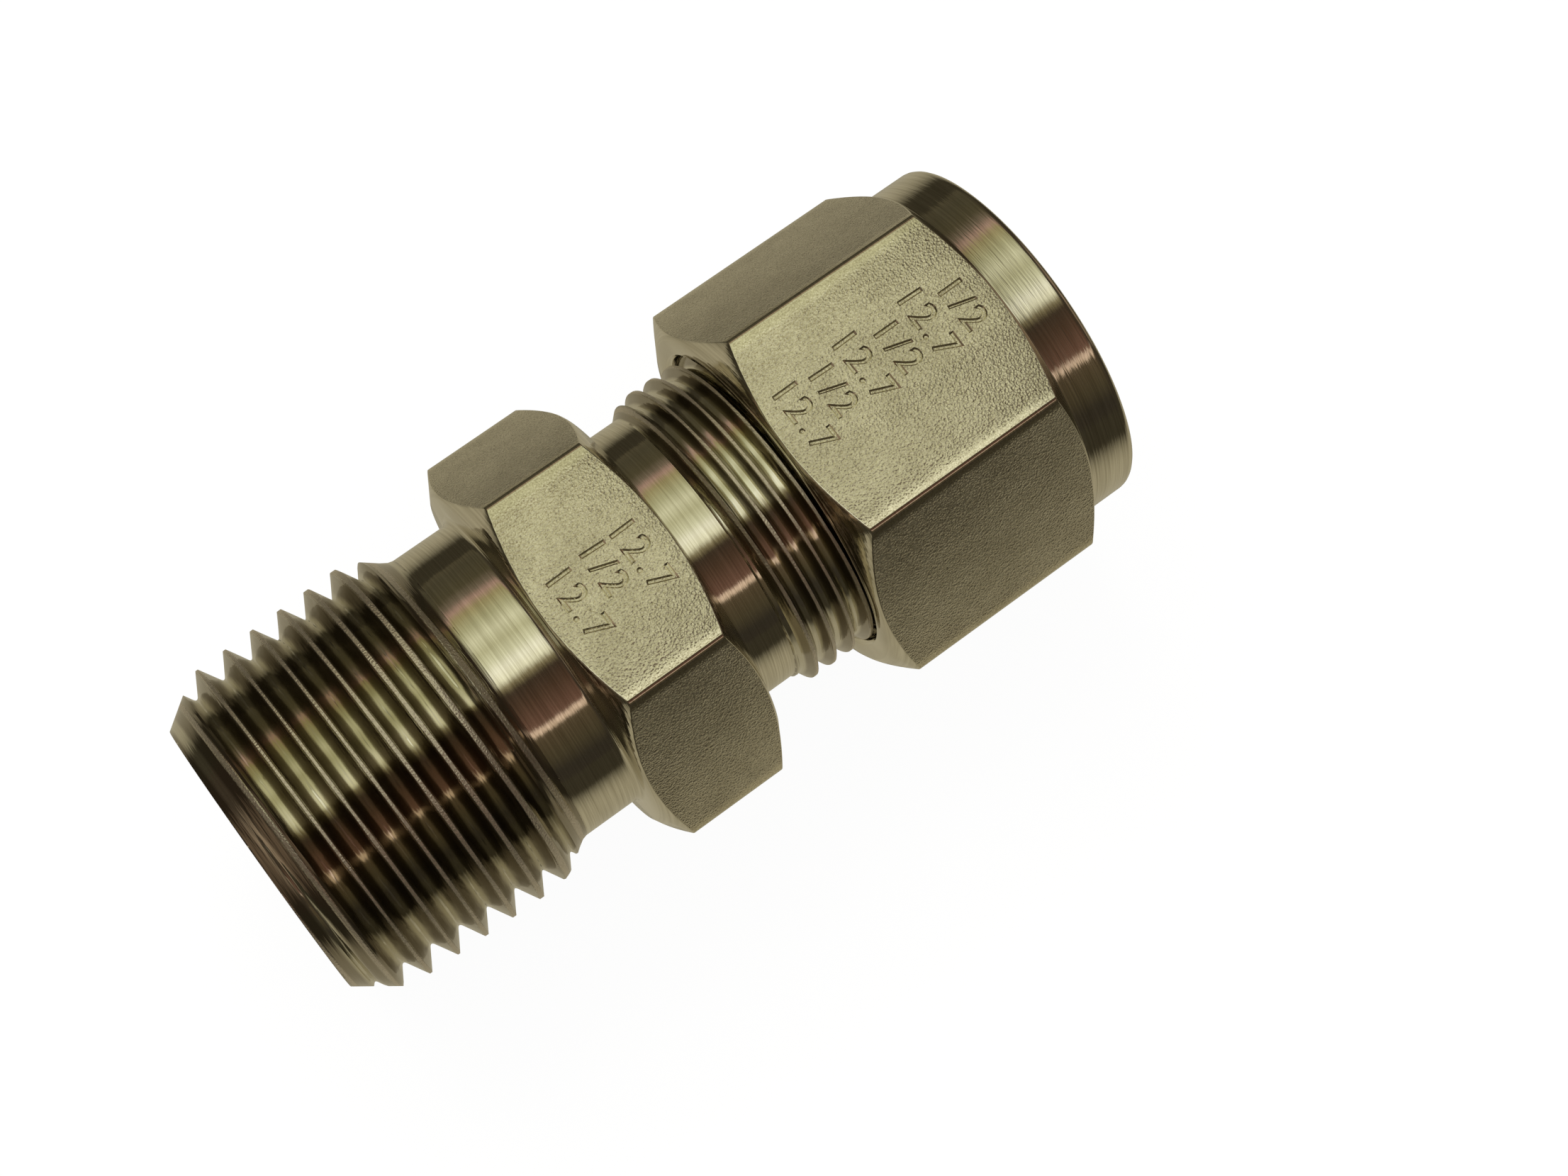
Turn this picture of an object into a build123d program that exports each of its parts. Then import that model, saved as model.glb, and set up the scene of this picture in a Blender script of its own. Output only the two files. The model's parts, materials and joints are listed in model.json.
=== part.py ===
from build123d import *
from math import cos, radians, tan
import os

# Male tube connector: a stainless compression fitting between a tube and a tapered pipe thread.
# +X runs along the centreline towards the tube and +Z is up. The origin is on the centreline at
# the tube stop, where an inserted tube bottoms. The fitting lies on the flats of its hexagons.
# All sizes are millimetres. The nut stands as it is sold, a few turns short of finger-tight.

# Tube, bores and the cone mouth that the front ferrule closes on
tube_diameter = 12.70
tube_clearance = 0.07
flow_bore_diameter = 10.40
bore_edge_break = 0.40
mouth_half_angle = 12.0
mouth_length = 4.00

# Pipe end: 1/2-14 taper thread, its blank turned to the crests
pipe_crest_diameter = 20.66
pipe_taper = 1 / 16
pipe_thread_length = 13.00
lead_drop = 1.83
lead_angle = 35.8
shoulder_step = 0.60
shoulder_drop = 0.46
shoulder_length = 2.10
shoulder_radius = 2.80
shank_diameter = 18.60
shank_length = 3.75

# Hexagons: both take the same wrench
across_flats = 22.225
hexagon_corner_radius = 0.20
hexagon_chamfer_angle = 30.0
hexagon_land = 0.21
body_hexagon_width = 8.25
stop_depth_in_hexagon = 0.85
shank_fillet = 0.40
neck_fillet = 0.25

# Nut thread: 3/4-20 parallel, between the neck and the body's end
male_thread_diameter = 19.10
male_thread_length = 9.95
male_thread_lead = 0.80
male_thread_end_lead = 0.60
neck_depth = 0.795
neck_length = 2.75

# Nut
nut_gap = 7.50
nut_hexagon_width = 14.60
nut_thread_clearance = 0.20
nut_thread_depth = 11.00
nut_mouth_break = 0.25
collar_step = 0.185
collar_length = 3.15
collar_rim_radius = 0.50
guide_clearance = 0.15
guide_length = 3.00
guide_edge_break = 0.30
drive_angle = 45.0

# Ferrules
ferrule_clearance = 0.10
ferrule_wall = 1.15
ferrule_side_clearance = 0.40
ferrule_seat_gap = 0.15
back_land = 0.15
back_flange_width = 0.90
back_nose_length = 1.10
back_nose_root = 0.75
back_nose_wall = 0.15
front_cylinder_length = 1.70
front_recess_depth = 0.75
front_tip_wall = 0.40
ferrule_gap = 0.10

# Radii that follow from the sizes above
flow_radius = flow_bore_diameter / 2
socket_radius = tube_diameter / 2 + tube_clearance
mouth_radius = socket_radius + mouth_length * tan(radians(mouth_half_angle))
pipe_crest_radius = pipe_crest_diameter / 2
shank_radius = shank_diameter / 2
male_thread_radius = male_thread_diameter / 2
neck_radius = male_thread_radius - neck_depth
flat_radius = across_flats / 2
corner_radius = flat_radius / cos(radians(30)) + 1
collar_radius = (across_flats - collar_step) / 2
nut_thread_radius = male_thread_radius + nut_thread_clearance
guide_radius = tube_diameter / 2 + guide_clearance
ferrule_bore_radius = tube_diameter / 2 + ferrule_clearance
ferrule_radius = ferrule_bore_radius + ferrule_wall
cavity_radius = ferrule_radius + ferrule_side_clearance

# Places along the centreline, from the tube stop
body_hexagon_end = stop_depth_in_hexagon
body_hexagon_start = body_hexagon_end - body_hexagon_width
shank_start = body_hexagon_start - shank_length
pipe_thread_end = shank_start - shoulder_length
pipe_end = pipe_thread_end - pipe_thread_length
neck_end = body_hexagon_end + neck_length
body_end = neck_end + male_thread_length
socket_end = body_end - mouth_length
nut_start = body_hexagon_end + nut_gap
nut_hexagon_end = nut_start + nut_hexagon_width
nut_end = nut_hexagon_end + collar_length
guide_start = nut_end - guide_length
drive_start = guide_start - (cavity_radius - guide_radius) / tan(radians(drive_angle))
nut_thread_end = nut_start + nut_thread_depth


def pipe_crest(x):
    """Crest radius of the taper thread's blank at x."""
    return pipe_crest_radius + (x - pipe_end) * pipe_taper / 2


def turn(points, mode=Mode.ADD):
    """Revolve a closed outline of (x, radius) points about the centreline, in the open part."""
    with BuildSketch(Plane.XZ) as outline:
        with BuildLine():
            Polyline(*points, close=True)
        make_face()
    revolve(outline.sketch, axis=Axis.X, mode=mode)


def chamfered_hexagon(start, end, start_foot, end_foot):
    """A hexagon bar between start and end, turned at both ends from the given foot radii."""
    slope = tan(radians(hexagon_chamfer_angle))
    with BuildSketch(Plane.YZ.offset(start)) as section:
        RegularPolygon(flat_radius, 6, major_radius=False)
    hexagon = extrude(section.sketch, amount=end - start)
    fillet(hexagon.edges().filter_by(Axis.X), hexagon_corner_radius)
    turn(
        [
            (start, 0),
            (start, start_foot),
            (start + (corner_radius - start_foot) * slope, corner_radius),
            (end - (corner_radius - end_foot) * slope, corner_radius),
            (end, end_foot),
            (end, 0),
        ],
        mode=Mode.INTERSECT,
    )


# Fitting body: bar hexagon, turned pipe end and nut thread end, then the bores from both ends
hexagon_foot = flat_radius - hexagon_land
lead_slope = tan(radians(lead_angle))
lead_length = lead_drop / (lead_slope - pipe_taper / 2)
shoulder_start = pipe_thread_end + shoulder_step
with BuildPart() as fitting_body:
    chamfered_hexagon(body_hexagon_start, body_hexagon_end, hexagon_foot, hexagon_foot)
    with BuildSketch(Plane.XZ):
        with BuildLine():
            Polyline(
                (body_hexagon_start, shank_radius + shank_fillet),
                (body_hexagon_start, 0),
                (pipe_end, 0),
                (pipe_end, pipe_crest_radius - lead_drop),
                (pipe_end + lead_length, pipe_crest(pipe_end + lead_length)),
                (pipe_thread_end, pipe_crest(pipe_thread_end)),
                (shoulder_start, pipe_crest(pipe_thread_end) - shoulder_drop),
            )
            RadiusArc(
                (shoulder_start, pipe_crest(pipe_thread_end) - shoulder_drop),
                (shank_start, shank_radius),
                -shoulder_radius,
            )
            Line((shank_start, shank_radius), (body_hexagon_start - shank_fillet, shank_radius))
            RadiusArc(
                (body_hexagon_start - shank_fillet, shank_radius),
                (body_hexagon_start, shank_radius + shank_fillet),
                -shank_fillet,
            )
        make_face()
    revolve(axis=Axis.X)
    with BuildSketch(Plane.XZ):
        with BuildLine():
            RadiusArc(
                (body_hexagon_end, neck_radius + neck_fillet),
                (body_hexagon_end + neck_fillet, neck_radius),
                -neck_fillet,
            )
            Polyline(
                (body_hexagon_end + neck_fillet, neck_radius),
                (neck_end, neck_radius),
                (neck_end + male_thread_lead, male_thread_radius),
                (body_end - male_thread_end_lead, male_thread_radius),
                (body_end, male_thread_radius - male_thread_end_lead),
                (body_end, 0),
                (body_hexagon_end, 0),
                (body_hexagon_end, neck_radius + neck_fillet),
            )
        make_face()
    revolve(axis=Axis.X)
    turn(
        [
            (pipe_end, 0),
            (pipe_end, flow_radius + bore_edge_break),
            (pipe_end + bore_edge_break, flow_radius),
            (0, flow_radius),
            (0, socket_radius),
            (socket_end, socket_radius),
            (body_end, mouth_radius),
            (body_end, 0),
        ],
        mode=Mode.SUBTRACT,
    )
fitting_body.part.label = "fitting_body"

# Nut: bar hexagon and collar, then the thread bore, the ferrule cavity, the drive cone and guide
with BuildPart() as nut:
    chamfered_hexagon(nut_start, nut_hexagon_end, hexagon_foot, collar_radius)
    with BuildSketch(Plane.XZ):
        with BuildLine():
            Polyline(
                (nut_end, collar_radius - collar_rim_radius),
                (nut_end, 0),
                (nut_hexagon_end, 0),
                (nut_hexagon_end, collar_radius),
                (nut_end - collar_rim_radius, collar_radius),
            )
            RadiusArc(
                (nut_end - collar_rim_radius, collar_radius),
                (nut_end, collar_radius - collar_rim_radius),
                collar_rim_radius,
            )
        make_face()
    revolve(axis=Axis.X)
    turn(
        [
            (nut_start, 0),
            (nut_start, nut_thread_radius + nut_mouth_break),
            (nut_start + nut_mouth_break, nut_thread_radius),
            (nut_thread_end, nut_thread_radius),
            (nut_thread_end, cavity_radius),
            (drive_start, cavity_radius),
            (guide_start, guide_radius),
            (nut_end - guide_edge_break, guide_radius),
            (nut_end, guide_radius + guide_edge_break),
            (nut_end, 0),
        ],
        mode=Mode.SUBTRACT,
    )
nut.part.label = "nut"

# Back ferrule: its rear cone meets the nut's drive cone, its nose enters the front ferrule
drive_slope = tan(radians(drive_angle))
back_rear = guide_start - (ferrule_bore_radius + back_land - guide_radius) / drive_slope
back_rear = back_rear - ferrule_seat_gap
back_flange_end = back_rear - (ferrule_wall - back_land) / drive_slope
back_flange_start = back_flange_end - back_flange_width
back_tip = back_flange_start - back_nose_length
with BuildPart() as back_ferrule:
    turn(
        [
            (back_tip, ferrule_bore_radius),
            (back_tip, ferrule_bore_radius + back_nose_wall),
            (back_flange_start, ferrule_bore_radius + back_nose_root),
            (back_flange_start, ferrule_radius),
            (back_flange_end, ferrule_radius),
            (back_rear, ferrule_bore_radius + back_land),
            (back_rear, ferrule_bore_radius),
        ]
    )
back_ferrule.part.label = "back_ferrule"

# Front ferrule: a cone for the body's mouth, and behind it a recess for the back ferrule's nose
recess_foot = back_tip - back_nose_wall / drive_slope - ferrule_gap
front_rear = recess_foot + front_recess_depth
front_cone_start = front_rear - front_cylinder_length
front_cone_length = (ferrule_wall - front_tip_wall) / tan(radians(mouth_half_angle))
front_tip = front_cone_start - front_cone_length
with BuildPart() as front_ferrule:
    turn(
        [
            (front_tip, ferrule_bore_radius),
            (front_tip, ferrule_bore_radius + front_tip_wall),
            (front_cone_start, ferrule_radius),
            (front_rear, ferrule_radius),
            (front_rear, ferrule_bore_radius + front_recess_depth * drive_slope),
            (recess_foot, ferrule_bore_radius),
        ]
    )
front_ferrule.part.label = "front_ferrule"

os.makedirs("parts", exist_ok=True)
for piece in (fitting_body, nut, front_ferrule, back_ferrule):
    export_step(piece.part, f"parts/{piece.part.label}.step")

print(f"pipe end at x {pipe_end:.2f}, nut end at x {nut_end:.2f}, length {nut_end - pipe_end:.2f}")
print(f"front ferrule tip to cone mouth {front_tip - body_end:.2f}, socket radius {socket_radius:.2f}")
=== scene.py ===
# %% [markdown]
# # Male tube connector in stainless steel
#
# A compression fitting lies on a white table: a tapered pipe thread on the left, a coupling nut
# with its collar on the right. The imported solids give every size. This lesson dresses them as the
# real thing is made: hexagon bar turned on a lathe, threads cut by a die, flats left as drawn.
#
# Every piece is modelled in millimetres and shrunk to metres when it is finished, because mesh
# tools merge and cut more safely on numbers near 1 than near 0.001.

# %% Load the frame
import json
import math

import bpy
from mathutils import Matrix, Vector, noise

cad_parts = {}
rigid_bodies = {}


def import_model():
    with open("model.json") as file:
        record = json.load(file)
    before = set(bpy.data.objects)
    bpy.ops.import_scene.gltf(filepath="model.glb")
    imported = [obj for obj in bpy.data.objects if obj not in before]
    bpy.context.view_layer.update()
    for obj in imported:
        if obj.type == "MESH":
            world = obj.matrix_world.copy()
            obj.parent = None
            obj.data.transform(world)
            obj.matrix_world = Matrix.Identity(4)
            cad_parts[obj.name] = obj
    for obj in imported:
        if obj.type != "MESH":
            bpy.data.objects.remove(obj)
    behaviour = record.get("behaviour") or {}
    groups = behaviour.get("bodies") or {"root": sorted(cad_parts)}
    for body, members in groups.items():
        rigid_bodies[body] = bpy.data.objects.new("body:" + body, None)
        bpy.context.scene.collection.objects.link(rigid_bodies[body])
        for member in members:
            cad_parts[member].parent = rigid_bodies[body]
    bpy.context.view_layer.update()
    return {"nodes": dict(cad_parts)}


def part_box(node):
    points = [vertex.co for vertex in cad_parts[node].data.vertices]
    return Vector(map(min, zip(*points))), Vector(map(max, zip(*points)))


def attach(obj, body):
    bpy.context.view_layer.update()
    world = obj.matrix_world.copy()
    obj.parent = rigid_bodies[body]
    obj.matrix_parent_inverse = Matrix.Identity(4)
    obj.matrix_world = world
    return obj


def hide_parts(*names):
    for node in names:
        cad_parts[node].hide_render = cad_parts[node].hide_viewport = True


for leftover in list(bpy.data.objects):
    bpy.data.objects.remove(leftover)
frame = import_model()

# %% [markdown]
# ## Sizes
#
# X runs along the centreline towards the tube, and the origin is where the tube stops. The
# sizes come from the solids: the body's ends, its hexagon, its neck, and the nut's ends.

# %% Places along the centreline and radii, in millimetres
MM = 0.001
STEPS = 192
PIPE_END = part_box("fitting_body")[0][0] / MM
BODY_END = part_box("fitting_body")[1][0] / MM
NUT_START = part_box("nut")[0][0] / MM
NUT_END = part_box("nut")[1][0] / MM
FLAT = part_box("nut")[1][2] / MM
CORNER = FLAT / math.cos(math.radians(30))
HEX_START = PIPE_END + 18.85
HEX_END = HEX_START + 8.25
NECK_END = HEX_END + 2.75
COLLAR_START = NUT_END - 3.15
COLLAR = FLAT - 0.0925
FOOT = FLAT - 0.21
SHANK = 9.30
NECK = 8.755
FLOW = 5.20
SOCKET = 6.42
MOUTH = 7.27
NUT_BORE = 9.75
CAVITY = 8.0
TUBE_HOLE = 6.5
PIPE_PITCH = 25.4 / 14
NUT_PITCH = 1.27
PIPE_THREAD_END = PIPE_END + 15.15
FIRST_PIPE_CREST = PIPE_END + 3.4787
FIRST_NUT_CREST = PIPE_END + 31.8151
CREST_TURN = 8.33 / 360
print("pipe end", PIPE_END, "nut end", NUT_END, "flats", FLAT)

# %% [markdown]
# ## Turned shapes
#
# Whatever a lathe makes is half an outline spun about the centreline. The outline starts as a
# plane merged to one point, which is then extruded from place to place, and the chain of edges is
# spun. Spinning keeps the outline editable, where a stack of cylinders would not.

# %% A chain of edges, and spinning it
def deselect():
    bpy.ops.object.select_all(action="DESELECT")


def active(piece):
    deselect()
    piece.select_set(True)
    bpy.context.view_layer.objects.active = piece


def outline(name, points):
    """Edges through (x, radius) points, extruded one by one above the centreline."""
    deselect()
    bpy.ops.mesh.primitive_plane_add(size=2)
    piece = bpy.context.object
    piece.name = name
    bpy.ops.object.mode_set(mode="EDIT")
    bpy.ops.mesh.select_mode(type="VERT")
    bpy.ops.mesh.merge(type="CENTER")
    bpy.ops.transform.translate(value=(points[0][0], 0, points[0][1]))
    for here, there in zip(points, points[1:]):
        step = (there[0] - here[0], 0, there[1] - here[1])
        bpy.ops.mesh.extrude_vertices_move(TRANSFORM_OT_translate={"value": step})
    bpy.ops.object.mode_set(mode="OBJECT")
    return piece


def spun(name, points):
    """The outline turned a full circle about the centreline."""
    piece = outline(name, points)
    bpy.ops.object.mode_set(mode="EDIT")
    bpy.ops.mesh.select_all(action="SELECT")
    bpy.ops.mesh.spin(steps=STEPS, angle=math.tau, center=(0, 0, 0), axis=(1, 0, 0))
    bpy.ops.mesh.select_all(action="SELECT")
    bpy.ops.mesh.remove_doubles(threshold=0.0005)
    bpy.ops.object.mode_set(mode="OBJECT")
    return piece


def rounded(corner, radius, start_angle, end_angle, steps=5):
    """Points on an arc about corner, from start_angle to end_angle in degrees."""
    points = []
    for i in range(steps + 1):
        angle = math.radians(start_angle + (end_angle - start_angle) * i / steps)
        points.append((corner[0] + radius * math.cos(angle), corner[1] + radius * math.sin(angle)))
    return points


def apply_modifier(piece, kind, **settings):
    active(piece)
    modifier = piece.modifiers.new(kind.title(), kind)
    for key, value in settings.items():
        setattr(modifier, key, value)
    bpy.ops.object.modifier_apply(modifier=modifier.name)


def close(piece):
    """Merge doubled points, drop faces without area, and turn every face outwards."""
    active(piece)
    bpy.ops.object.mode_set(mode="EDIT")
    bpy.ops.mesh.select_all(action="SELECT")
    bpy.ops.mesh.remove_doubles(threshold=0.0005)
    bpy.ops.mesh.dissolve_degenerate(threshold=0.0005)
    bpy.ops.mesh.select_all(action="SELECT")
    bpy.ops.mesh.normals_make_consistent(inside=False)
    bpy.ops.object.mode_set(mode="OBJECT")


def finish_piece(piece, body, crease=32):
    """Shrink the piece from millimetres to metres, smooth it, and let it ride on its body."""
    active(piece)
    piece.scale = (MM, MM, MM)
    bpy.ops.object.transform_apply(location=True, rotation=True, scale=True)
    bpy.ops.object.shade_smooth_by_angle(angle=math.radians(crease))
    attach(piece, body)
    print(piece.name, len(piece.data.polygons), "faces")


# %% [markdown]
# ## Threads
#
# A thread is one ridge wound round many times, so one pitch of its outline goes through a Screw
# modifier. The pipe thread is tapered, runs out into its shoulder and is bevelled where a pipe
# starts on it. A die leaves its crests wider near the hexagon, where it doesn't cut to full depth.
# Those come from a second pass that sets each point's radius, because no modifier tapers a
# screw and fades it at once.

# %% Wind one pitch, then set every radius
def wound(name, pitch, crest_at, turns, phases):
    """A band of thread: phases are the places of its points in one pitch, crest at 0."""
    piece = outline(name, [(crest_at + phase * pitch, 10) for phase in phases])
    apply_modifier(piece, "SCREW", axis="X", angle=math.tau, screw_offset=pitch, iterations=turns,
                   steps=STEPS, render_steps=STEPS, use_normal_calculate=False)
    return piece


def lerp(table, x):
    """Straight lines through a table of (x, value)."""
    if x <= table[0][0]:
        return table[0][1]
    for (x0, v0), (x1, v1) in zip(table, table[1:]):
        if x <= x1:
            return v0 + (v1 - v0) * (x - x0) / (x1 - x0)
    return table[-1][1]


def cut_thread(piece, pitch, crest_at, half_crest, crest_width, crest, depth, blank, start, end):
    """Move each point to the crest, flank or root of the thread, and never outside the blank.

    Each point also keeps its height in the thread, as crest, for the finish.
    """
    crest_share = piece.data.attributes.new("crest", "FLOAT", "POINT")
    for index, vertex in enumerate(piece.data.vertices):
        x, y, z = vertex.co
        turn = math.atan2(-y, z) / math.tau
        phase = (x - crest_at) / pitch - turn
        near = phase - round(phase)
        centre = x - near * pitch
        centre = min(max(centre, start - pitch), end + pitch)
        wander = noise.noise(Vector((x * 0.9, y * 0.5, z * 0.5)))
        width = lerp(crest_width, centre) * (1 + 0.35 * wander)
        reach = abs(near) / half_crest
        if reach <= 1.001:
            along = reach * width / 2
            drop = 0
        else:
            share = (abs(near) - half_crest) / (0.5 - half_crest)
            along = width / 2 + share * (pitch - width) / 2
            drop = (along - width / 2) * math.tan(math.radians(60))
        floor = depth - 0.5 * (lerp(crest_width, centre) - crest_width[0][1]) * 1.2
        softness = 0.12 * pitch / 1.8
        if drop > floor - softness:
            over = min((drop - floor + softness) / (2 * softness), 1)
            drop = floor - softness + 2 * softness * (over - over * over / 2)
        x = centre + math.copysign(along, near)
        burr = 0.012 * noise.noise(Vector((x * 2.1, y * 1.7, z * 1.7)))
        radius = crest(x) - drop + burr
        x = min(max(x, start), end)
        radius = min(radius, lerp(blank, x))
        around = turn * math.tau
        vertex.co = (x, -radius * math.sin(around), radius * math.cos(around))
        crest_share.data[index].value = 1 - min(drop / depth, 1)


# %% [markdown]
# ## The fitting body
#
# One turned piece: pipe thread, shoulder, shank, hexagon, neck, nut thread, and the bores. The two
# threads and the plain stretches between them meet ring to ring, so they join into one skin.
# The hexagon is bar stock, made below as a piece of its own that the shank and neck run into.

# %% Pipe thread
pipe_phases = [-0.5, -0.465, -0.43, -0.39, -0.33, -0.26, -0.19, -0.12, -0.06, -0.02]
pipe_phases = pipe_phases + [-phase for phase in reversed(pipe_phases)]
pipe_crest_at = FIRST_PIPE_CREST - PIPE_PITCH * CREST_TURN
pipe_thread = wound("pipe_thread", PIPE_PITCH, pipe_crest_at - 3 * PIPE_PITCH, 11, pipe_phases)
shoulder = [(0, 8.50), (2.66, 10.41), (12.0, 10.705), (12.5, 10.70), (13.04, 10.52), (13.6, 10.28)]
shoulder = shoulder + [(14.0, 9.97), (14.46, 9.62), (14.85, 9.38), (15.15, 9.30)]
shoulder = [(PIPE_END + x, radius) for x, radius in shoulder]
cut_thread(
    pipe_thread, PIPE_PITCH, pipe_crest_at, 0.06,
    crest_width=[(PIPE_END, 0.13), (PIPE_END + 7, 0.16), (PIPE_END + 13, 0.27)],
    crest=lambda x: 10.33 + (x - PIPE_END) / 32,
    depth=1.32, blank=shoulder, start=PIPE_END, end=PIPE_THREAD_END,
)
print("pipe thread", len(pipe_thread.data.polygons), "faces")

# %% Nut thread
nut_phases = [-0.5, -0.45, -0.38, -0.3, -0.22, -0.14, -0.06]
nut_phases = nut_phases + [-phase for phase in reversed(nut_phases)]
nut_crest_at = FIRST_NUT_CREST - NUT_PITCH * CREST_TURN
nut_thread = wound("nut_thread", NUT_PITCH, nut_crest_at - 3 * NUT_PITCH, 11, nut_phases)
thread_blank = [(NECK_END, NECK), (NECK_END + 0.8, NECK + 0.8), (BODY_END - 0.72, 9.57), (BODY_END, 8.85)]
cut_thread(
    nut_thread, NUT_PITCH, nut_crest_at, 0.06,
    crest_width=[(NECK_END, 0.16), (BODY_END, 0.16)],
    crest=lambda x: 9.565,
    depth=0.70, blank=thread_blank, start=NECK_END, end=BODY_END,
)
print("nut thread", len(nut_thread.data.polygons), "faces")

# %% Shank, neck and bores, then one skin
shank_points = [(PIPE_THREAD_END, SHANK), (PIPE_END + 16.2, SHANK), (PIPE_END + 17.3, SHANK)]
shank_points += rounded((HEX_START - 0.4, SHANK + 0.4), 0.4, 270, 360)
shank_points += [(HEX_START + 0.3, SHANK + 0.4), (HEX_END - 0.3, NECK + 0.25)]
shank_points += rounded((HEX_END + 0.25, NECK + 0.25), 0.25, 180, 270)
shank_points += [(HEX_END + 1.4, NECK), (NECK_END, NECK)]
shank = spun("shank", shank_points)

bore_points = [(BODY_END, 8.85), (BODY_END, MOUTH), (BODY_END - 4, SOCKET), (0, SOCKET), (0, FLOW)]
bore_points += [(PIPE_END + 0.4, FLOW), (PIPE_END, FLOW + 0.4), (PIPE_END, 8.50)]
bores = spun("bores", bore_points)

active(shank)
for part in (pipe_thread, nut_thread, bores):
    part.select_set(True)
bpy.ops.object.join()
body_skin = bpy.context.object
body_skin.name = "body_turned"
close(body_skin)
open_edges = [e for e in body_skin.data.edges if e.is_loose]
print("body skin", len(body_skin.data.polygons), "faces,", len(open_edges), "loose edges")

# %% [markdown]
# ## The hexagons
#
# Both start as hexagon bar, and the lathe only takes the ends down: a 30 degree chamfer on each
# face, which leaves the curved ends of the flats. The same cut is made here, as the part of the bar
# that a turned blank has in common with it. The bar's long corners are bevelled first, because
# drawn bar is never sharp.

# %% Hexagon bar, and the cut by a turned blank
def bar(name, start, end):
    deselect()
    bpy.ops.mesh.primitive_cylinder_add(
        vertices=6, radius=CORNER, depth=end - start,
        location=((start + end) / 2, 0, 0), rotation=(0, math.radians(90), 0),
    )
    piece = bpy.context.object
    piece.name = name
    bpy.ops.object.transform_apply(location=True, rotation=True, scale=True)
    long_edges = set()
    for edge in piece.data.edges:
        a, b = (piece.data.vertices[i].co for i in edge.vertices)
        if abs(a.x - b.x) > 1:
            long_edges.add(edge.index)
    bpy.ops.object.mode_set(mode="EDIT")
    bpy.ops.mesh.select_mode(type="EDGE")
    bpy.ops.mesh.select_all(action="DESELECT")
    bpy.ops.object.mode_set(mode="OBJECT")
    for edge in piece.data.edges:
        edge.select = edge.index in long_edges
    bpy.ops.object.mode_set(mode="EDIT")
    bpy.ops.mesh.bevel(offset=0.22, segments=5, profile=0.5)
    bpy.ops.object.mode_set(mode="OBJECT")
    return piece


def turn_down(piece, blank):
    """Keep what the bar and the blank have in common, then drop the blank."""
    apply_modifier(piece, "BOOLEAN", operation="INTERSECT", solver="EXACT", object=blank)
    bpy.data.objects.remove(blank)
    close(piece)


def soften(piece, width):
    """A fine rounding on the turned edges."""
    apply_modifier(piece, "BEVEL", width=width, segments=2, limit_method="ANGLE",
                   angle_limit=math.radians(35), use_clamp_overlap=True)


CHAMFER = math.tan(math.radians(30))
REACH = 14.0
rise = (REACH - FOOT) * CHAMFER
body_hexagon = bar("body_hexagon", HEX_START, HEX_END)
body_blank = spun("body_blank", [
    (HEX_START, 8.2), (HEX_START, FOOT), (HEX_START + rise, REACH),
    (HEX_END - rise, REACH), (HEX_END, FOOT), (HEX_END, 8.2), (HEX_START, 8.2),
])
close(body_blank)
turn_down(body_hexagon, body_blank)
soften(body_hexagon, 0.05)
print("body hexagon", len(body_hexagon.data.polygons), "faces")

# %% [markdown]
# ## The nut
#
# The nut is cut from the same bar. Its right chamfer runs down to a plain collar whose rim is
# rounded, and inside it are the thread bore, the space for the ferrules, the sloped shoulder
# that drives them, and the hole that the tube goes through.

# %% Nut
collar_rise = (REACH - COLLAR) * CHAMFER
nut_points = [(NUT_START, 10.0), (NUT_START, FOOT), (NUT_START + rise, REACH)]
nut_points += [(COLLAR_START - collar_rise, REACH), (COLLAR_START, COLLAR)]
nut_points += rounded((NUT_END - 0.5, COLLAR - 0.5), 0.5, 90, 0)
nut_points += [(NUT_END, TUBE_HOLE + 0.3), (NUT_END - 0.3, TUBE_HOLE), (NUT_END - 3.0, TUBE_HOLE)]
nut_points += [(NUT_END - 4.5, CAVITY), (NUT_START + 11.0, CAVITY), (NUT_START + 11.0, NUT_BORE)]
nut_points += [(NUT_START + 0.25, NUT_BORE)]
nut_points += [(NUT_START, 10.0)]
nut_shell = bar("nut_shell", NUT_START - 1, NUT_END + 1)
nut_blank = spun("nut_blank", nut_points)
close(nut_blank)
turn_down(nut_shell, nut_blank)
soften(nut_shell, 0.05)
print("nut", len(nut_shell.data.polygons), "faces")

# %% [markdown]
# ## Struck size marks
#
# Makers strike rows of marks into the upper flats. Here they are plain sizes only: the tube in
# millimetres and the pipe size in inches. A die pushes the metal aside and leaves sloped walls, so
# each row is text with a bevel, made into a mesh and cut out of the flat a tenth of a millimetre
# deep, a little crooked as a hand press leaves it. A painted mark would not catch the light.

# %% Strike rows of figures
FIGURE_SIZE = 2.2
STRUCK_DEPTH = 0.10
CUTTER_HALF = 0.3
CUTTER_SLOPE = 0.09


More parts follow.
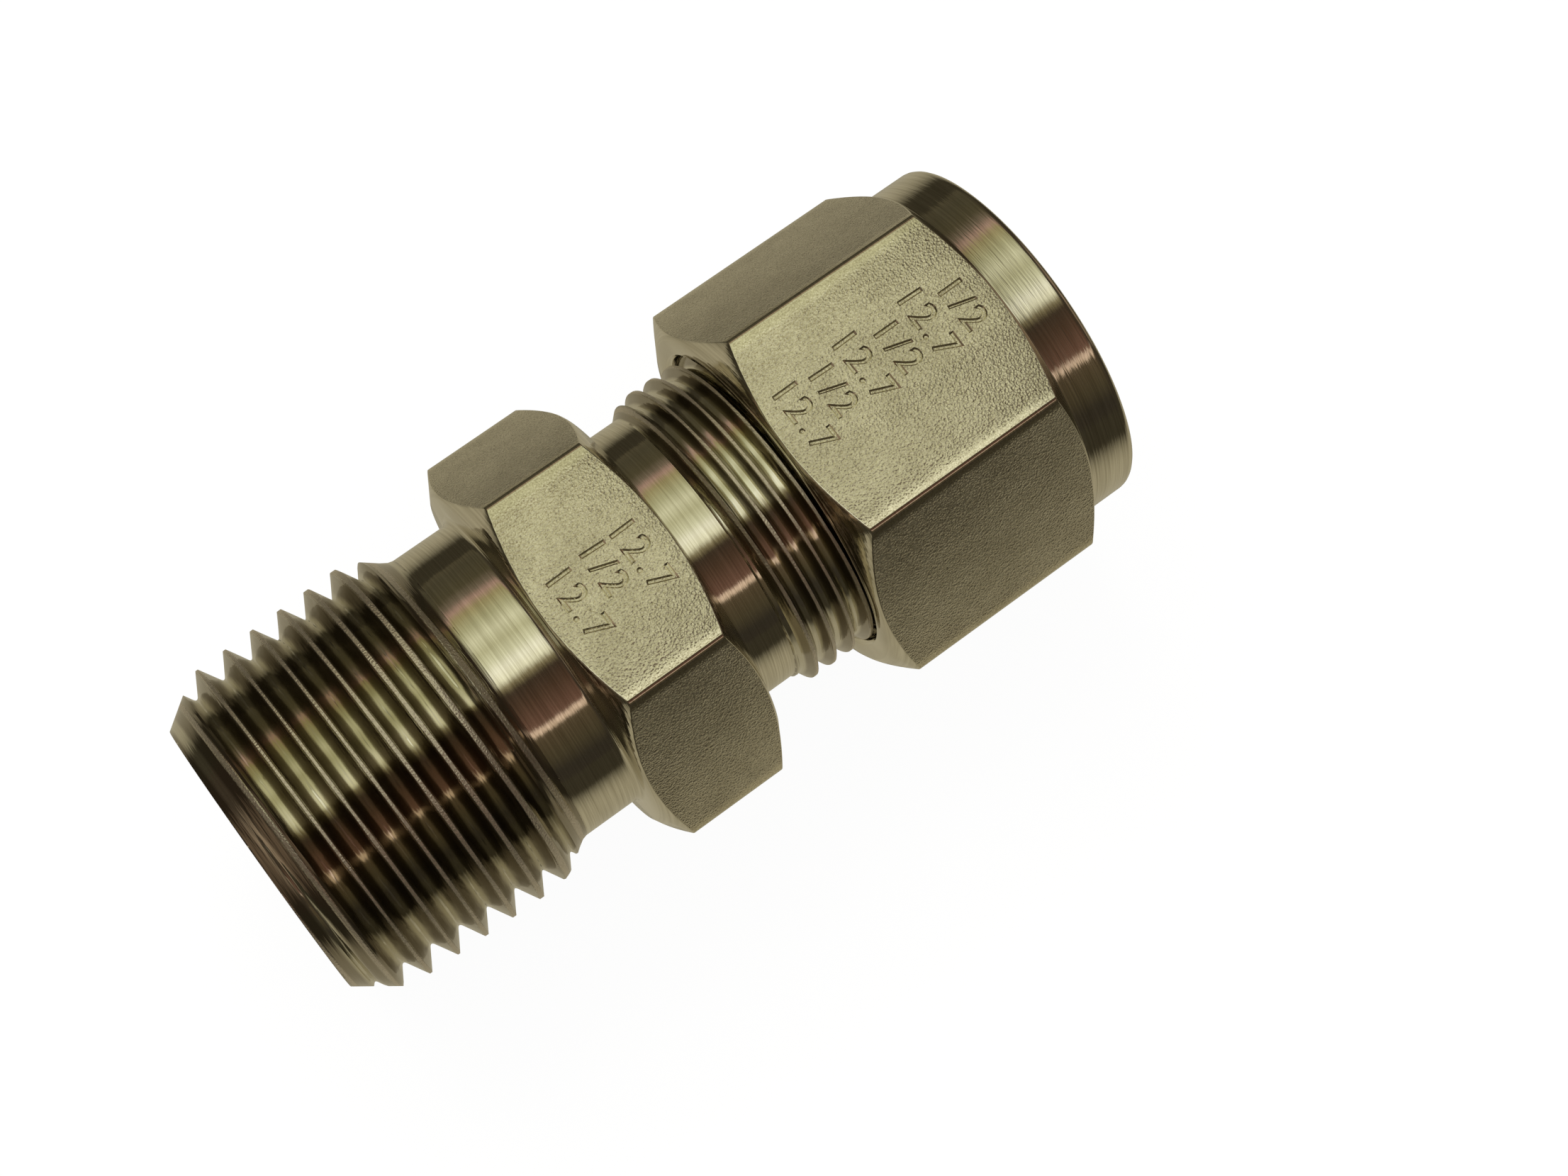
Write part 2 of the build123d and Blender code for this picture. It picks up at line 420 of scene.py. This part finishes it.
def strike(piece, rows):
    """rows are (words, x, y, turn in degrees): figures read towards -Y with their tops to +X."""
    for words, x, y, crooked in rows:
        deselect()
        bpy.ops.object.text_add(location=(0, 0, 0))
        text = bpy.context.object
        text.data.body = words
        text.data.size = FIGURE_SIZE
        text.data.align_x = "CENTER"
        text.data.align_y = "CENTER"
        text.data.space_character = 1.2
        text.data.extrude = CUTTER_HALF
        text.data.bevel_depth = CUTTER_SLOPE
        text.data.bevel_resolution = 0
        text.data.offset = -0.05
        text.data.resolution_u = 4
        bpy.ops.object.convert(target="MESH")
        cutter = bpy.context.object
        cutter.rotation_euler = (0, 0, math.radians(crooked - 90))
        cutter.location = (x, y, FLAT - STRUCK_DEPTH + CUTTER_HALF + CUTTER_SLOPE)
        bpy.ops.object.transform_apply(location=True, rotation=True, scale=True)
        close(cutter)
        apply_modifier(piece, "BOOLEAN", operation="DIFFERENCE", solver="EXACT", object=cutter)
        bpy.data.objects.remove(cutter)
    print(piece.name, "struck with", len(rows), "rows")


body_rows = [("12.7", HEX_START + 2.0, -0.5, 2), ("1/2", HEX_START + 4.2, 0.3, -2)]
body_rows += [("12.7", HEX_START + 6.2, -0.3, 2)]
strike(body_hexagon, body_rows)
nut_rows = []
for k, shift in enumerate((-0.2, 0.1, 0.2, 0.0, 0.15, -0.1)):
    words = ("12.7", "1/2")[k % 2]
    nut_rows.append((words, NUT_START + 1.9 + 2.15 * k, 1.0 + shift, (1, -1, 2, 0, -1, 1)[k]))
strike(nut_shell, nut_rows)

# %% [markdown]
# ## Materials
#
# All of it is one austenitic stainless steel, and only the tool marks differ. Its colour is a
# warm grey, because nickel and iron reflect blue a little less than red.

# %% Colours and nodes
def colour(hex_value):
    """An sRGB hex colour as the linear colour that Blender works in."""
    parts = [int(hex_value[i:i + 2], 16) / 255 for i in (1, 3, 5)]
    linear = [p / 12.92 if p <= 0.04045 else ((p + 0.055) / 1.055) ** 2.4 for p in parts]
    return (*linear, 1)


def add_node(tree, kind, inputs=None, **settings):
    """Add a node: settings are its properties, inputs its sockets as values or links."""
    node = tree.nodes.new(kind)
    for key, value in settings.items():
        setattr(node, key, value)
    for key, value in (inputs or {}).items():
        if isinstance(value, bpy.types.NodeSocket):
            tree.links.new(value, node.inputs[key])
        else:
            node.inputs[key].default_value = value
    return node


def new_material(name):
    material = bpy.data.materials.new(name)
    material.use_nodes = True
    material.node_tree.nodes.clear()
    return material, material.node_tree


# %% [markdown]
# ### Turned stainless steel
#
# A lathe tool leaves a groove finer than a hair on every turn. The grooves run round the axis, so
# the noise behind the bump is stretched: quick along X, slow across it. They are drawn coarser than
# life, about a tenth of a millimetre, because real ones are too fine for a picture. On the threads
# the flanks get a darker colour, which is painted shade, and the crests are torn a little by the die.

# %% Turned steel
def turned_finish(name, base, roughness, flank_shade_and_crest_grain=False):
    """Tool marks round the axis. On threads the flanks are coloured darker as painted shade, and the crests
    are torn.
    """
    material, tree = new_material(name)
    place = add_node(tree, "ShaderNodeTexCoord").outputs["Object"]
    lines_place = add_node(tree, "ShaderNodeMapping", {"Vector": place, "Scale": (11000, 160, 160)})
    lines = add_node(tree, "ShaderNodeTexNoise", {
        "Vector": lines_place.outputs[0], "Scale": 1.0, "Detail": 3.0,
    })
    wave_place = add_node(tree, "ShaderNodeMapping", {"Vector": place, "Scale": (7000, 520, 520)})
    wave = add_node(tree, "ShaderNodeTexNoise", {
        "Vector": wave_place.outputs[0], "Scale": 1.0, "Detail": 2.0,
    })
    bump = add_node(tree, "ShaderNodeBump", {
        "Height": lines.outputs[0], "Strength": 0.3, "Distance": 0.00002,
    })
    bump = add_node(tree, "ShaderNodeBump", {
        "Height": wave.outputs[0], "Strength": 0.35, "Distance": 0.00004, "Normal": bump.outputs[0],
    })
    tone = add_node(tree, "ShaderNodeMapRange", {0: lines.outputs[0], 1: 0.3, 2: 0.7, 3: 0.0, 4: 1.0})
    shade = add_node(tree, "ShaderNodeMix", {
        0: tone.outputs[0], 6: colour(base[0]), 7: colour(base[1]),
    }, data_type="RGBA").outputs[2]
    normal = bump.outputs[0]
    rough = roughness
    if flank_shade_and_crest_grain:
        height = add_node(tree, "ShaderNodeAttribute", attribute_name="crest").outputs["Fac"]
        # Painted shade: from just above the root, the colour is mixed towards dark #8b8271, which darkens
        # the thread flanks. The crests get their own colour back below.
        painted_flank_shade = add_node(tree, "ShaderNodeMapRange", {
            0: height, 1: 0.10, 2: 0.32, 3: 0.0, 4: 0.85,
        }).outputs[0]
        shade = add_node(tree, "ShaderNodeMix", {
            0: painted_flank_shade, 6: shade, 7: colour("#8b8271"),
        }, data_type="RGBA").outputs[2]
        torn = add_node(tree, "ShaderNodeMapRange", {
            0: height, 1: 0.88, 2: 0.99, 3: 0.0, 4: 1.0,
        }).outputs[0]
        grain = add_node(tree, "ShaderNodeTexNoise", {"Vector": place, "Scale": 9000.0, "Detail": 3.0})
        grains = add_node(tree, "ShaderNodeMath", {0: grain.outputs[0], 1: torn}, operation="MULTIPLY")
        normal = add_node(tree, "ShaderNodeBump", {
            "Height": grains.outputs[0], "Strength": 0.9, "Distance": 0.00007, "Normal": normal,
        }).outputs[0]
        shade = add_node(tree, "ShaderNodeMix", {
            0: torn, 6: shade, 7: colour("#d6cdbd"),
        }, data_type="RGBA").outputs[2]
        rough = add_node(tree, "ShaderNodeMapRange", {
            0: torn, 1: 0.0, 2: 1.0, 3: roughness, 4: 0.3,
        }).outputs[0]
    steel = add_node(tree, "ShaderNodeBsdfPrincipled", {
        "Base Color": shade, "Metallic": 1.0, "Roughness": rough, "Normal": normal,
    })
    add_node(tree, "ShaderNodeOutputMaterial", {"Surface": steel.outputs[0]})
    return material


turned_steel = turned_finish("turned_stainless_steel", ("#c3bda9", "#e8e3d1"), 0.09)
thread_steel = turned_finish("die_cut_stainless_steel", ("#cdc8b5", "#dedac8"), 0.10, flank_shade_and_crest_grain=True)

# %% [markdown]
# ### Drawn bar flats
#
# The flats keep the skin of the drawn and blasted bar: a fine pitted grain that glitters, with
# faint draw lines along the axis. Grit leaves pits of a tenth to a quarter of a millimetre. Within
# half a millimetre of each long corner the die rolled the bar smooth, which shows as a bright strip.

# %% Drawn bar
drawn_steel, tree = new_material("drawn_bar_stainless_steel")
place = add_node(tree, "ShaderNodeTexCoord").outputs["Object"]
pits = add_node(tree, "ShaderNodeTexVoronoi", {"Vector": place, "Scale": 7000.0})
grit = add_node(tree, "ShaderNodeTexNoise", {"Vector": place, "Scale": 11000.0, "Detail": 2.0})
draw_place = add_node(tree, "ShaderNodeMapping", {"Vector": place, "Scale": (50, 3200, 3200)})
draw = add_node(tree, "ShaderNodeTexNoise", {"Vector": draw_place.outputs[0], "Scale": 1.0, "Detail": 3.0})
cloud = add_node(tree, "ShaderNodeTexNoise", {"Vector": place, "Scale": 420.0, "Detail": 3.0})
bump = add_node(tree, "ShaderNodeBump", {"Height": draw.outputs[0], "Strength": 0.16, "Distance": 0.00003})
grit_bump = add_node(tree, "ShaderNodeBump", {
    "Height": grit.outputs[0], "Distance": 0.00005, "Normal": bump.outputs[0],
})
bump = add_node(tree, "ShaderNodeBump", {
    "Height": pits.outputs["Distance"], "Distance": 0.00006, "Normal": grit_bump.outputs[0],
})
across = add_node(tree, "ShaderNodeVectorMath", {0: place, 1: (0, 1, 1)}, operation="MULTIPLY")
radius = add_node(tree, "ShaderNodeVectorMath", {0: across.outputs[0]}, operation="LENGTH")
rolled = add_node(tree, "ShaderNodeMapRange", {
    0: radius.outputs["Value"], 1: 0.01240, 2: 0.01264, 3: 0.0, 4: 1.0,
})
pit_depth = add_node(tree, "ShaderNodeMapRange", {0: rolled.outputs[0], 3: 0.5, 4: 0.12})
for pitted in (bump, grit_bump):
    tree.links.new(pit_depth.outputs[0], pitted.inputs["Strength"])
mottle = add_node(tree, "ShaderNodeMapRange", {0: cloud.outputs[0], 1: 0.3, 2: 0.7, 3: 0.0, 4: 0.3})
speck = add_node(tree, "ShaderNodeMapRange", {0: grit.outputs[0], 1: 0.32, 2: 0.68, 3: 0.0, 4: 0.7})
grain = add_node(tree, "ShaderNodeMath", {0: mottle.outputs[0], 1: speck.outputs[0]}, operation="ADD")
shade = add_node(tree, "ShaderNodeMix", {
    0: grain.outputs[0], 6: colour("#b4ac94"), 7: colour("#eee8d0"),
}, data_type="RGBA")
rough = add_node(tree, "ShaderNodeMapRange", {0: grit.outputs[0], 1: 0.3, 2: 0.7, 3: 0.22, 4: 0.38})
rough = add_node(tree, "ShaderNodeMix", {0: rolled.outputs[0], 2: rough.outputs[0], 3: 0.12})
steel = add_node(tree, "ShaderNodeBsdfPrincipled", {
    "Base Color": shade.outputs[2], "Metallic": 1.0, "Roughness": rough.outputs[0],
    "Normal": bump.outputs[0],
})
add_node(tree, "ShaderNodeOutputMaterial", {"Surface": steel.outputs[0]})

# %% [markdown]
# ### Which face has which finish
#
# The bar's skin is left only on the six flats. The lathe cut everything else, and the die cut the
# threads. So the finish follows the faces: by their direction on the hexagons, by their place
# along the axis on the body.

# %% Give each face its finish
def dress(piece):
    """Turned steel everywhere, and drawn bar on the six flats."""
    piece.data.materials.clear()
    piece.data.materials.append(turned_steel)
    piece.data.materials.append(drawn_steel)
    flats = [Vector((0, math.cos(k * math.pi / 3), math.sin(k * math.pi / 3))) for k in (0.5, 1.5, 2.5)]
    for face in piece.data.polygons:
        outer = face.center.yz.length > (FLAT - 0.15) * MM
        on_bar = face.center.x < COLLAR_START * MM
        if outer and on_bar and max(abs(face.normal.dot(flat)) for flat in flats) > 0.999:
            face.material_index = 1


finish_piece(body_skin, "fitting_body")
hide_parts("fitting_body")
body_skin.data.materials.clear()
body_skin.data.materials.append(turned_steel)
body_skin.data.materials.append(thread_steel)
for face in body_skin.data.polygons:
    x = face.center.x / MM
    bored = face.center.yz.length < 8.4 * MM
    if not bored and (x < PIPE_END + 15.2 or NECK_END < x):
        face.material_index = 1
finish_piece(body_hexagon, "fitting_body")
dress(body_hexagon)
finish_piece(nut_shell, "nut")
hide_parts("nut")
dress(nut_shell)
for name in ("front_ferrule", "back_ferrule"):
    node = frame["nodes"][name]
    for material_slot in node.material_slots:
        material_slot.material = turned_steel
    if not node.material_slots:
        node.data.materials.append(turned_steel)

# %% [markdown]
# ## Table and light
#
# Polished steel shows its room more than itself. The room here is a world whose brightness goes
# round the fitting's axis in bands: a large soft box above and behind, a narrow strip beside the
# camera, and dark walls. Camera rays see plain white.

# %% Floor
deselect()
bpy.ops.mesh.primitive_plane_add(size=1.2, location=(0, 0, -FLAT * MM))
floor = bpy.context.object
floor.name = "table"
bpy.ops.object.transform_apply(location=True)
table_top, tree = new_material("white_table")
path = add_node(tree, "ShaderNodeLightPath")
place = add_node(tree, "ShaderNodeTexCoord").outputs["Object"]
split = add_node(tree, "ShaderNodeSeparateXYZ", {0: place})
along = add_node(tree, "ShaderNodeMath", {0: split.outputs[0]}, operation="ABSOLUTE")
past_end = add_node(tree, "ShaderNodeMath", {0: along.outputs[0], 1: 0.026}, operation="SUBTRACT")
past_end = add_node(tree, "ShaderNodeMath", {0: past_end.outputs[0], 1: 0.0}, operation="MAXIMUM")
flat_place = add_node(tree, "ShaderNodeCombineXYZ", {0: past_end.outputs[0], 1: split.outputs[1]})
away = add_node(tree, "ShaderNodeVectorMath", {0: flat_place.outputs[0]}, operation="LENGTH")
# Painted reflection: rays that the steel throws back see the table glow, tan close to the fitting and dark
# farther off.
far = add_node(tree, "ShaderNodeMapRange", {
    0: away.outputs["Value"], 1: 0.022, 2: 0.060, 3: 0.0, 4: 1.0,
}, interpolation_type="SMOOTHSTEP")
painted_floor_reflection = add_node(tree, "ShaderNodeMix", {
    0: far.outputs[0], 6: colour("#a9a18a"), 7: colour("#3c372b"),
}, data_type="RGBA")
paper = add_node(tree, "ShaderNodeBsdfDiffuse", {"Color": colour("#f4f2ee")})
white = add_node(tree, "ShaderNodeEmission", {"Color": (1, 1, 1, 1), "Strength": 1.0})
mirrored = add_node(tree, "ShaderNodeEmission", {"Color": painted_floor_reflection.outputs[2], "Strength": 1.0})
keep = add_node(tree, "ShaderNodeMath", {0: path.outputs["Is Camera Ray"], 1: 0.95}, operation="MULTIPLY")
seen = add_node(tree, "ShaderNodeMixShader", {0: keep.outputs[0], 1: paper.outputs[0], 2: white.outputs[0]})
shown = add_node(tree, "ShaderNodeMixShader", {
    0: path.outputs["Is Glossy Ray"], 1: seen.outputs[0], 2: mirrored.outputs[0],
})
add_node(tree, "ShaderNodeOutputMaterial", {"Surface": shown.outputs[0]})
floor.data.materials.append(table_top)

# %% [markdown]
# ### The room
#
# A room in the mirror of the steel could be built from real screens and boxes. A world of bands is
# shorter and gives the same reflections: only rays that the steel throws back see it. The ends of
# the room, where the fitting's axis points, are dark, which keeps the thread flanks dark.

# %% World
world = bpy.data.worlds.new("studio")
bpy.context.scene.world = world
world.use_nodes = True
tree = world.node_tree
tree.nodes.clear()
direction = add_node(tree, "ShaderNodeTexCoord").outputs["Generated"]
axes = add_node(tree, "ShaderNodeSeparateXYZ", {0: direction})
side = add_node(tree, "ShaderNodeMath", {0: axes.outputs[1], 1: -1.0}, operation="MULTIPLY")
angle = add_node(tree, "ShaderNodeMath", {0: side.outputs[0], 1: axes.outputs[2]}, operation="ARCTAN2")
turn = add_node(tree, "ShaderNodeMapRange", {0: angle.outputs[0], 1: -math.pi, 2: math.pi, 3: 0.0, 4: 1.0})
bands = add_node(tree, "ShaderNodeValToRGB", {0: turn.outputs[0]})
stops = [
    (-180, "#a9a18a"), (-112, "#8d8168"), (-98, "#57503f"), (-84, "#4a4536"), (-68, "#4f4936"),
    (-60, "#74685a"), (-55, "#b09187"), (-49, "#a0966e"), (-38, "#b6b593"), (-28, "#dcdcc0"),
    (-18, "#c4c3a2"), (-9, "#dfe0c4"), (-2, "#ffffef"), (5, "#f7f6de"), (10, "#857a5c"),
    (15, "#3c3026"), (27, "#4f3b2e"), (39, "#664b3f"), (45, "#6e5044"), (47, "#e8cdbb"),
    (50, "#dfc5b0"), (52, "#564937"), (70, "#494130"), (82, "#332e26"), (96, "#352f27"),
    (115, "#a0937c"), (180, "#a9a18a"),
]
ramp = bands.color_ramp
while len(ramp.elements) < len(stops):
    ramp.elements.new(0.5)
for element, (degrees, hex_value) in zip(ramp.elements, stops):
    element.position = (degrees + 180) / 360
    element.color = colour(hex_value)
sideways = add_node(tree, "ShaderNodeMath", {0: axes.outputs[0]}, operation="ABSOLUTE")
ends = add_node(tree, "ShaderNodeMapRange", {
    0: sideways.outputs[0], 1: 0.45, 2: 0.8, 3: 0.0, 4: 1.0,
}, interpolation_type="SMOOTHSTEP")
walls = add_node(tree, "ShaderNodeMix", {
    0: ends.outputs[0], 6: bands.outputs[0], 7: colour("#3b3228"),
}, data_type="RGBA")
level = add_node(tree, "ShaderNodeMapRange", {0: sideways.outputs[0], 1: 0.9, 2: 0.97, 3: 0.0, 4: 1.0})
walls = add_node(tree, "ShaderNodeMix", {
    0: level.outputs[0], 6: walls.outputs[2], 7: colour("#948270"),
}, data_type="RGBA")
path = add_node(tree, "ShaderNodeLightPath")
room = add_node(tree, "ShaderNodeBackground", {"Color": walls.outputs[2], "Strength": 1.1})
plain = add_node(tree, "ShaderNodeBackground", {"Color": (1, 1, 1, 1), "Strength": 1.0})
which = add_node(tree, "ShaderNodeMixShader", {
    0: path.outputs["Is Glossy Ray"], 1: plain.outputs[0], 2: room.outputs[0],
})
add_node(tree, "ShaderNodeOutputWorld", {"Surface": which.outputs[0]})

# %% [markdown]
# ### The key light
#
# One large soft lamp gives the table its faint shadow. The steel doesn't mirror it, because the
# bands of the room already stand for it.

# %% Soft key light
light = bpy.data.lights.new("soft_box", "AREA")
light.shape = "RECTANGLE"
light.size = 0.35
light.size_y = 0.25
light.energy = 1.5
light.color = (1.0, 0.97, 0.92)
lamp = bpy.data.objects.new("soft_box", light)
bpy.context.scene.collection.objects.link(lamp)
lamp.location = (0.0, 0.30, 0.34)
lamp.visible_glossy = False
lamp.rotation_euler = (Vector((0, 0, 0)) - lamp.location).to_track_quat("-Z", "Y").to_euler()

# %% [markdown]
# ## Camera
#
# The photograph was taken from close by, about 150 mm above the fitting, so the nearer thread
# looks larger and the collar's end stays hidden. Place, direction and lens were fitted to the
# outline in the photograph.

# %% Camera
right = Vector((0.80012, -0.59576, 0.06983)).normalized()
up = Vector((0.56873, 0.79048, 0.22739)).normalized()
back = right.cross(up).normalized()
turned = Matrix((right, up, back)).transposed()
camera_data = bpy.data.cameras.new("camera")
camera_data.lens = 61.9
camera_data.sensor_width = 36
camera_data.clip_start = 0.005
camera = bpy.data.objects.new("camera", camera_data)
bpy.context.scene.collection.objects.link(camera)
camera.matrix_world = Matrix.Translation(Vector((-0.02304, -0.02619, 0.1480))) @ turned.to_4x4()
bpy.context.scene.camera = camera
bpy.context.scene.view_settings.view_transform = "Standard"
